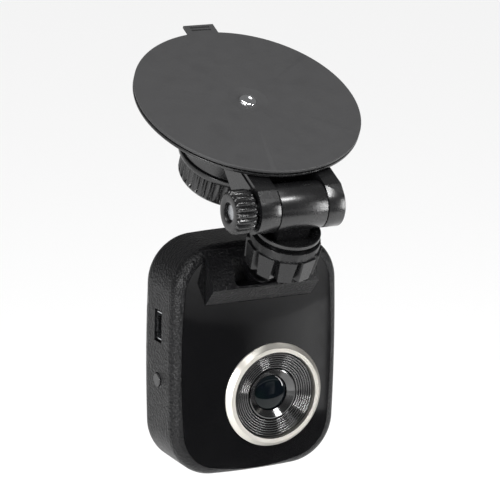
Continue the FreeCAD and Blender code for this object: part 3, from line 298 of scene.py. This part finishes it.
# %% Edges of the moulded CAD parts
EDGE_RADII = {
    "yoke": 0.3, "arm": 0.25, "ring_nut": 0.3, "cup_shell": 0.25, "suction_pad": 0.15, "hinge_bolt": 0.12,
}
for name, radius in EDGE_RADII.items():
    weld = nodes[name].modifiers.new("joined_points", "WELD")
    weld.merge_threshold = 0.002 * MM
    rounded_edges(nodes[name], radius, angle=38, segments=2)
print("rounded", len(EDGE_RADII), "CAD parts")

# %% [markdown]
# ## Screw recesses and contacts
# A screw head reads as a screw by its driver recess. It is a shallow cross here, made of two crossed bars that
# stand a hair proud of the head and are dark as painted shade, for the shadow at a recess's bottom, so nothing has
# to be cut out of the CAD head.


# %% Bars
def bars(sizes):
    """Boxes with small bevels: each is (centre, size) in millimetres."""
    shape = bmesh.new()
    for centre, size in sizes:
        new = bmesh.ops.create_cube(shape, size=MM)["verts"]
        bmesh.ops.scale(shape, vec=size, verts=new)
        bmesh.ops.translate(shape, vec=Vector(centre) * MM, verts=new)
    bmesh.ops.bevel(shape, geom=list(shape.edges), offset=0.12 * min(min(size) for _, size in sizes) * MM,
                    offset_type="OFFSET", segments=2, profile=0.5, affect="EDGES", material=-1)
    return shape


case_low, case_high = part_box("case_screws")
SCREW_RADIUS = 1.8
CROSS_LONG, CROSS_WIDE, CROSS_THICK = 1.9, 0.42, 0.16
screw_spots = [(x, z) for x in (case_low.x + SCREW_RADIUS * MM, case_high.x - SCREW_RADIUS * MM)
               for z in (case_low.z + SCREW_RADIUS * MM, case_high.z - SCREW_RADIUS * MM)]
crosses = []
for x, z in screw_spots:
    for size in ((CROSS_LONG, CROSS_THICK, CROSS_WIDE), (CROSS_WIDE, CROSS_THICK, CROSS_LONG)):
        crosses.append(((x / MM, case_high.y / MM, z / MM), size))
# painted shade: the dark component finish on the crosses stands for the shadow inside each screw recess
piece("screw_recess_painted_shade", bars(crosses), Matrix.Identity(4), "camera", "component")

usb_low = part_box("usb_tongue")[0]
CONTACT_PITCH, CONTACT_PROUD = 0.8, 0.03
CONTACT_SIZE = (6.6, 0.12, 0.4)
tongue = middle("usb_tongue") / MM
contacts = []
for k in range(-2, 3):
    contacts.append(((tongue.x, usb_low.y / MM - CONTACT_PROUD, tongue.z + k * CONTACT_PITCH), CONTACT_SIZE))
piece("inlet_contacts", bars(contacts), Matrix.Identity(4), "camera", "brass")
print("screw recesses", len(crosses) // 2, "contacts", len(contacts))

# %% [markdown]
# ## Colour and material helpers
# A listed colour is an sRGB value, and a shader works in linear light, so one function turns one into the
# other. A second function adds any kind of node. Every pattern reads object coordinates, which are metres here,
# so a pattern's scale is simply one over the real size of its grain.


# %% Colour and material helpers
def colour(text):
    """A hex sRGB colour as linear red, green, blue and alpha."""
    shares = [int(text[k:k + 2], 16) / 255 for k in (1, 3, 5)]
    return [share / 12.92 if share <= 0.04045 else ((share + 0.055) / 1.055) ** 2.4 for share in shares] + [1]


def add(tree, kind, inputs=None, **settings):
    """Adds a node: settings are its own properties, and inputs are values or other nodes' outputs."""
    item = tree.nodes.new("ShaderNode" + kind)
    for key, value in settings.items():
        setattr(item, key, value)
    for key, value in (inputs or {}).items():
        if isinstance(value, bpy.types.NodeSocket):
            tree.links.new(value, item.inputs[key])
        else:
            item.inputs[key].default_value = value
    return item


def per(size_mm):
    """The scale of a pattern whose grain has this real size."""
    return 1 / (size_mm * MM)


def material(name, base, **sockets):
    """A material with one Principled shader; the keywords are its sockets, with _ for a space."""
    item = bpy.data.materials.new(name)
    item.use_nodes = True
    tree = item.node_tree
    shader = tree.nodes["Principled BSDF"]
    shader.inputs["Base Color"].default_value = colour(base)
    for key, value in sockets.items():
        shader.inputs[key.replace("_", " ")].default_value = value
    return item, tree, shader


def object_space(tree, centre=None):
    """Object coordinates, measured from a centre if one is given."""
    coords = add(tree, "TexCoord").outputs["Object"]
    if centre is None:
        return coords
    return add(tree, "Mapping", {"Vector": coords, "Location": -Vector(centre)}).outputs["Vector"]


def mottled(tree, shader, space, size_mm, first, second):
    """Base colour that drifts between two close shades."""
    noise = add(tree, "TexNoise", {"Vector": space, "Scale": per(size_mm), "Detail": 3, "Roughness": 0.6})
    mix = add(tree, "Mix", {"Factor": noise.outputs["Fac"], "A": colour(first), "B": colour(second)},
              data_type="RGBA")
    tree.links.new(mix.outputs["Result"], shader.inputs["Base Color"])


def uneven(tree, shader, space, size_mm, low, high):
    """Roughness that varies between two values, as handling and mould flow leave it."""
    noise = add(tree, "TexNoise", {"Vector": space, "Scale": per(size_mm), "Detail": 4, "Roughness": 0.65})
    spread = add(tree, "MapRange", {"Value": noise.outputs["Fac"], "From Min": 0.3, "From Max": 0.7,
                                    "To Min": low, "To Max": high})
    tree.links.new(spread.outputs["Result"], shader.inputs["Roughness"])


def grain(tree, shader, height, depth_mm, strength=1.0):
    """Bump from a height socket that runs from 0 to 1, of a real depth."""
    bump = add(tree, "Bump", {"Height": height, "Distance": depth_mm * MM, "Strength": strength})
    tree.links.new(bump.outputs["Normal"], shader.inputs["Normal"])


finishes = {}
print("material helpers ready")

# %% [markdown]
# ## Rubber, ABS and acrylic
# The pad is moulded silicone-like rubber: matte, and greyer than the plastic because its surface scatters. The
# mount is injection-moulded ABS with a satin polish, which keeps a soft highlight. The case is ABS from a
# spark-eroded mould, whose fine grain breaks a highlight into points. The front is piano-black acrylic: almost no
# colour of its own, and a mirror for the room.

# %% Rubber
item, tree, shader = material("moulded_rubber", "#303031", Roughness=0.62, IOR=1.52, Sheen_Weight=0.05,
                              Sheen_Roughness=0.5)
space = object_space(tree)
mottled(tree, shader, space, 9, "#202021", "#242425")
uneven(tree, shader, space, 4, 0.55, 0.7)
fine = add(tree, "TexNoise", {"Vector": space, "Scale": per(0.35), "Detail": 4, "Roughness": 0.6})
grain(tree, shader, fine.outputs["Fac"], 0.02, 0.6)
finishes["rubber"] = item
print("rubber")

# %% Moulded plastics


def moulded_plastic(name, first, second, low, high, grain_mm, depth_mm, strength, shine):
    """Injection-moulded plastic: two shades, a range of roughness and the grain of its mould."""
    item, tree, shader = material(name, first, IOR=1.54, Specular_IOR_Level=shine)
    space = object_space(tree)
    mottled(tree, shader, space, 6, first, second)
    uneven(tree, shader, space, 3, low, high)
    fine = add(tree, "TexNoise", {"Vector": space, "Scale": per(grain_mm), "Detail": 2, "Roughness": 0.5})
    grain(tree, shader, fine.outputs["Fac"], depth_mm, strength)
    return item


# each row: material, two shades, roughness from and to, grain and its depth in mm, bump strength, specular level
PLASTICS = {
    "mount_plastic": ("satin_moulded_abs", "#0a0a0b", "#0e0e0f", 0.24, 0.3, 0.8, 0.006, 0.25, 0.45),
    "nut_plastic": ("satin_moulded_nylon", "#0b0b0c", "#101011", 0.24, 0.32, 0.5, 0.01, 0.4, 0.3),
    # real spark grain is about 0.1 mm: drawn at 0.7 mm, so that it shows
    "case_plastic": ("spark_eroded_abs", "#050506", "#08080a", 0.34, 0.42, 0.7, 0.4, 1.0, 0.2),
    "lens_black": ("moulded_black_polycarbonate", "#040405", "#070708", 0.13, 0.15, 0.5, 0.0004, 0.1, 0.8),
    "button_plastic": ("polished_moulded_abs", "#131314", "#1a1a1b", 0.2, 0.32, 0.6, 0.006, 0.3, 0.5),
    "component": ("moulded_epoxy", "#18181a", "#222224", 0.45, 0.6, 0.3, 0.01, 0.5, 0.5),
    "card_plastic": ("moulded_card_shell", "#17181c", "#202126", 0.35, 0.5, 0.3, 0.01, 0.5, 0.5),
    "seat_plastic": ("natural_acetal", "#cfccc2", "#dad7cd", 0.3, 0.42, 0.5, 0.01, 0.3, 0.5),
}
for slot, row in PLASTICS.items():
    finishes[slot] = moulded_plastic(*row)
print("plastics", len(finishes))

# %% Piano-black acrylic and dark windows


def gloss_black(name, base, low, high, wave_mm, depth_mm):
    """Polished acrylic under a hard coat: faint long waves in its reflection, faint wiping marks."""
    item, tree, shader = material(name, base, IOR=1.49, Coat_Weight=0.6, Coat_Roughness=0.03, Coat_IOR=1.5)
    space = object_space(tree)
    mottled(tree, shader, space, 20, base, "#0d0d0e")
    uneven(tree, shader, space, 7, low, high)
    waves = add(tree, "TexNoise", {"Vector": space, "Scale": per(wave_mm), "Detail": 1, "Roughness": 0.4})
    grain(tree, shader, waves.outputs["Fac"], depth_mm, 0.25)
    return item


finishes["panel_gloss"] = gloss_black("piano_black_acrylic", "#060607", 0.03, 0.09, 18, 0.05)
finishes["window"] = gloss_black("smoked_window_acrylic", "#08090b", 0.02, 0.06, 25, 0.03)
print("gloss black")

# %% [markdown]
# ## Metals and glass
# A metal's colour is its reflection, so its base is light and its roughness tells the process. The rivet is
# chrome-plated and smooth. The ring round the lens is spun: its tool leaves fine rings round its own axis, which
# is a pattern in the distance from that axis.

# %% Spun, plated and rolled metals


def plated(name, first, second, low, high, grain_mm):
    """A metal with a soft drift of shade and roughness."""
    item, tree, shader = material(name, first, Metallic=1.0)
    space = object_space(tree)
    mottled(tree, shader, space, 2.5, first, second)
    uneven(tree, shader, space, 1.2, low, high)
    fine = add(tree, "TexNoise", {"Vector": space, "Scale": per(grain_mm), "Detail": 3, "Roughness": 0.5})
    grain(tree, shader, fine.outputs["Fac"], 0.004, 0.4)
    return item


# each row: material, two shades, roughness from and to, grain in mm
METALS = {
    "rivet_chrome": ("chrome_plated_steel", "#dcdddf", "#c9cacc", 0.06, 0.14, 0.8),
    "steel": ("zinc_plated_steel", "#b9bbbe", "#9da0a4", 0.2, 0.36, 0.4),
    "socket_steel": ("tinned_steel_sheet", "#c4c6c8", "#a9abae", 0.16, 0.28, 0.5),
    "stud_steel": ("blackened_steel", "#2a2a2c", "#1c1c1e", 0.28, 0.4, 0.5),
    "brass": ("turned_brass", "#c9a256", "#b08a42", 0.2, 0.32, 0.4),
    "foil": ("laminated_foil", "#b8babc", "#a4a6a9", 0.3, 0.42, 1.5),
}
for slot, row in METALS.items():
    finishes[slot] = plated(*row)

item, tree, shader = material("spun_aluminium", "#cfcbc3", Metallic=1.0, Roughness=0.24, Anisotropic=0.45)
space = object_space(tree, LENS)
axes = add(tree, "SeparateXYZ", {"Vector": space})
flat = add(tree, "CombineXYZ", {"X": axes.outputs["X"], "Z": axes.outputs["Z"]})
radius = add(tree, "VectorMath", {0: flat.outputs["Vector"]}, operation="LENGTH")
# the rings of the tool are about 0.03 mm apart: drawn at 0.12 mm, so that they show
rings = add(tree, "TexNoise", {"W": radius.outputs["Value"], "Scale": per(0.12), "Detail": 2},
            noise_dimensions="1D")
grain(tree, shader, rings.outputs["Fac"], 0.004, 0.35)
shade = add(tree, "Mix", {"Factor": rings.outputs["Fac"], "A": colour("#c2beb6"), "B": colour("#dad7d0")},
            data_type="RGBA")
tree.links.new(shade.outputs["Result"], shader.inputs["Base Color"])
uneven(tree, shader, space, 5, 0.34, 0.4)
finishes["ring_silver"] = item
print("metals")

# %% Coated glass
# the front element is seen against the dark inside of the barrel, so it is nearly black; the violet and green
# of its coating are a painted reflection mixed into its base colour, in patches where the film is thicker
item, tree, shader = material("coated_lens_glass", "#050608", Roughness=0.03, IOR=1.3, Specular_IOR_Level=0.3,
                              Coat_Weight=0.25, Coat_Roughness=0.01, Coat_IOR=1.35)
space = object_space(tree, LENS)
# painted reflection: the coating's violet and green drift through the base colour by noise
coating_reflection_tint = add(tree, "TexNoise", {"Vector": space, "Scale": per(6), "Detail": 1})
shade = add(tree, "Mix", {"Factor": coating_reflection_tint.outputs["Fac"], "A": colour("#07060f"), "B": colour("#06100d")},
            data_type="RGBA")
tree.links.new(shade.outputs["Result"], shader.inputs["Base Color"])
finishes["glass"] = item

# %% Circuit board and display
item, tree, shader = material("solder_mask_green", "#0f4a27", Roughness=0.3, IOR=1.5)
space = object_space(tree)
tracks = add(tree, "TexVoronoi", {"Vector": space, "Scale": per(2.2)}, feature="DISTANCE_TO_EDGE",
             distance="CHEBYCHEV")
line = add(tree, "MapRange", {"Value": tracks.outputs["Distance"], "From Min": 0.02, "From Max": 0.05})
shade = add(tree, "Mix", {"Factor": line.outputs["Result"], "A": colour("#1c6b3a"), "B": colour("#0d4022")},
            data_type="RGBA")
tree.links.new(shade.outputs["Result"], shader.inputs["Base Color"])
grain(tree, shader, line.outputs["Result"], 0.03, 0.4)
finishes["board_green"] = item
finishes["display"] = gloss_black("display_stack", "#101216", 0.12, 0.2, 12, 0.02)
print("finishes", sorted(finishes))

# %% [markdown]
# ## Giving each part its finish
# The record says which slot each CAD part takes its finish from, and a new piece names its slot too. So one loop
# dresses everything, and a part can't be forgotten.

# %% Giving each part its finish
slot_of = {row["node"]: row["material_slot"] for row in frame["record"]["subparts"]}
for name, item in nodes.items():
    item.data.materials.clear()
    item.data.materials.append(finishes[slot_of[name]])
for item in made:
    item.data.materials.clear()
    item.data.materials.append(finishes[item["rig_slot"]])
print("dressed", len(nodes), "CAD parts and", len(made), "pieces")

# %% [markdown]
# ## Studio and camera
# Matte black reads as black only where it has something dark to mirror, and as gloss only where it has something
# bright. So the world is a dim even grey, a wide soft sun from above makes the pale floor white and models the
# forms, and a few soft boxes of known size draw the long highlights. The floor lies well below, because the object
# hangs.


# %% Studio
def soft_box(name, spot, target, width, height, power):
    """A rectangular area light in millimetres and watts, aimed at a point."""
    lamp = bpy.data.lights.new(name, "AREA")
    lamp.shape = "RECTANGLE"
    lamp.size = width * MM
    lamp.size_y = height * MM
    lamp.energy = power
    item = bpy.data.objects.new(name, lamp)
    bpy.context.collection.objects.link(item)
    item.location = Vector(spot) * MM
    item.rotation_euler = (Vector(target) * MM - item.location).to_track_quat("-Z", "Y").to_euler()


def card(name, spot, target, width, height, finish):
    """A flat rectangle that faces a point: the floor or a flag."""
    shape = bmesh.new()
    bmesh.ops.create_grid(shape, x_segments=1, y_segments=1, size=0.5 * MM)
    bmesh.ops.scale(shape, vec=(width, height, 1), verts=shape.verts)
    facing = (Vector(target) - Vector(spot)).to_track_quat("Z", "Y").to_matrix().to_4x4()
    bmesh.ops.transform(shape, matrix=Matrix.Translation(Vector(spot) * MM) @ facing, verts=shape.verts)
    mesh = bpy.data.meshes.new(name)
    shape.to_mesh(mesh)
    shape.free()
    mesh.materials.append(finish)
    item = bpy.data.objects.new(name, mesh)
    bpy.context.collection.objects.link(item)
    return item


pale = material("pale_floor_paint", "#f7f7f7", Roughness=0.9)[0]
FLOOR_DROP, FLOOR_WIDTH = 150, 8000
FLOOR = cad_box[0].z / MM - FLOOR_DROP
card("floor", (0, 0, FLOOR), (0, 0, 0), FLOOR_WIDTH, FLOOR_WIDTH, pale)

world = bpy.data.worlds.new("studio")
bpy.context.scene.world = world
world.use_nodes = True
sky = world.node_tree.nodes["Background"]
sky.inputs["Color"].default_value = colour("#ffffff")
sky.inputs["Strength"].default_value = 0.22
sun = bpy.data.lights.new("overhead", "SUN")
sun.energy = 2.5
sun.angle = math.radians(40)
overhead = bpy.data.objects.new("overhead", sun)
bpy.context.collection.objects.link(overhead)
overhead.rotation_euler = Vector((0.25, 0.15, -1)).to_track_quat("-Z", "Y").to_euler()
soft_box("left_strip", (-400, -260, 20), (0, 0, -60), 40, 300, 2.4)
soft_box("right_strip", (330, -330, -40), (0, 0, -60), 30, 260, 1.2)
soft_box("top_strip", (60, -330, 330), (0, -20, -20), 160, 40, 1.6)
print("floor at", round(FLOOR, 1), "mm")


# %% Flags
# a flag is a card that only a gloss surface sees; the one before the front panel is graded in two zones that meet
# in a wide arc, as a swept paper background is, and the other is plain dark felt
def flag(name, spot, target, width, height, finish):
    """A card that stays out of every view and throws no shadow."""
    item = card(name, spot, target, width, height, finish)
    item.visible_camera = False
    item.visible_diffuse = False
    item.visible_shadow = False
    item.visible_transmission = False


graded = bpy.data.materials.new("graded_paper")
graded.use_nodes = True
tree = graded.node_tree
tree.nodes.clear()
PANEL = middle("front_panel")
FLAG_AWAY = 300
back = Vector((-0.4406, -0.863, 0.246)).normalized()  # from the object towards the camera
mirrored = Vector((-back.x, back.y, -back.z))
flag_spot = PANEL / MM + mirrored * FLAG_AWAY / -mirrored.y
space = object_space(tree, flag_spot * MM)
axes = add(tree, "SeparateXYZ", {"Vector": space})
rise = add(tree, "MapRange", {"Value": axes.outputs["Z"], "From Min": 1 * MM, "From Max": 30 * MM,
                              "To Min": 0.07, "To Max": 0.52})
side = add(tree, "MapRange", {"Value": axes.outputs["X"], "From Min": -12 * MM, "From Max": 22 * MM,
                              "To Min": 0.0, "To Max": 0.25})
upper = add(tree, "Math", {0: rise.outputs["Result"], 1: side.outputs["Result"]}, operation="ADD")
plane = add(tree, "CombineXYZ", {"X": axes.outputs["X"], "Z": axes.outputs["Z"]})
ARC_CENTRE, ARC_RADIUS = (-2 * MM, 0, 82 * MM), 80 * MM
arc = add(tree, "VectorMath", {0: plane.outputs["Vector"], 1: ARC_CENTRE}, operation="DISTANCE")
below = add(tree, "MapRange", {"Value": arc.outputs["Value"], "From Min": ARC_RADIUS,
                               "From Max": ARC_RADIUS + 0.3 * MM})
lower = add(tree, "MapRange", {"Value": axes.outputs["X"], "From Min": -6 * MM, "From Max": 24 * MM,
                               "To Min": 0.02, "To Max": 0.85})
level = add(tree, "Mix", {"Factor": below.outputs["Result"], "A": upper.outputs["Value"],
                          "B": lower.outputs["Result"]})
glow = add(tree, "Emission", {"Color": colour("#ffffff"), "Strength": level.outputs["Result"]})
add(tree, "OutputMaterial", {"Surface": glow.outputs["Emission"]})
dark = material("black_felt", "#060606", Roughness=1.0)[0]
flag("front_flag", flag_spot, (flag_spot.x, 0, flag_spot.z), 64, 76, graded)
flag("felt_low", (120, -420, -215), (0, 0, -70), 620, 200, dark)
print("flag stands at", [round(value) for value in flag_spot])

# %% Camera
# a long lens far away keeps parallel edges nearly parallel, as in a product picture
SPAN = 133.2  # millimetres that the frame covers at the object
FOCAL, SENSOR = 200, 36
VIEW_RIGHT, VIEW_UP = 0.48, -40.1  # the middle of the view, from the middle of the suction face
right = Vector((0.8924, -0.451, 0.0146))
right = (right - right.dot(back) * back).normalized()
up = back.cross(right)
view_centre = (VIEW_RIGHT * right + VIEW_UP * up) * MM
lens = bpy.data.cameras.new("camera")
lens.lens = FOCAL
lens.sensor_width = SENSOR
distance = SPAN * FOCAL / SENSOR * MM
camera = bpy.data.objects.new("camera", lens)
bpy.context.collection.objects.link(camera)
turn = Matrix((right, up, back)).transposed().to_4x4()
camera.matrix_world = Matrix.Translation(view_centre + back * distance) @ turn
lens.clip_start, lens.clip_end = 0.05, 20
bpy.context.scene.camera = camera
bpy.context.scene.view_settings.view_transform = "Standard"
print("camera", round(distance, 3), "m away")
